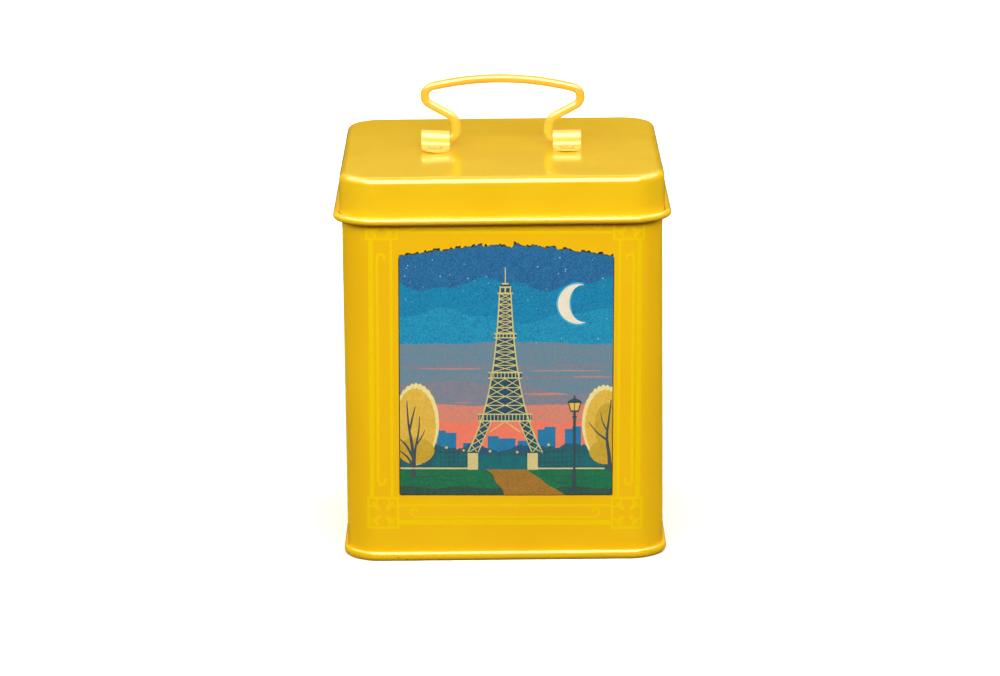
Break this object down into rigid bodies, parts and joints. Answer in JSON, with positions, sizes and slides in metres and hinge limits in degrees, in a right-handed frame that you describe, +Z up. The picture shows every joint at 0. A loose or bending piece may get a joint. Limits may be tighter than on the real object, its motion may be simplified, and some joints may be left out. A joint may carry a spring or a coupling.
{
  "type": "square tin canister with bail handle",
  "caption": "Square sheet-metal coffee tin with rounded corners, a slip-on lid that lifts off and a wire bail handle that folds flat either way in riveted clips.",
  "frame": {"origin": "centre of the tin's footprint, on the surface it stands on", "axes": "+Z up out of the lid, -Y out of the front face that carries the picture, +X to the right seen from the front, along the handle's pivot"},
  "size_m": [0.1162, 0.1162, 0.1611],
  "materials": {
    "yellow_enamel": "gloss stoving enamel on tinplate",
    "clip_enamel": "gloss enamel on folded sheet steel",
    "wire_enamel": "gloss enamel on steel wire"
  },
  "bodies": {
    "tin": {"body_wall": "yellow_enamel", "base_panel": "yellow_enamel"},
    "lid": {"lid_pan": "yellow_enamel", "clip_left": "clip_enamel", "clip_right": "clip_enamel", "rivet_left": "clip_enamel", "rivet_right": "clip_enamel"},
    "handle": {"handle_wire": "wire_enamel"}
  },
  "joints": [
    {"name": "lid_lift", "type": "slide", "parent": "tin", "child": "lid", "axis": [0, 0, 1], "range_m": [0, 0.045]},
    {"name": "handle_tilt", "type": "hinge", "parent": "lid", "child": "handle", "pos_m": [0, 0, 0.1382], "axis": [1, 0, 0], "range_deg": [-90, 90]}
  ]
}
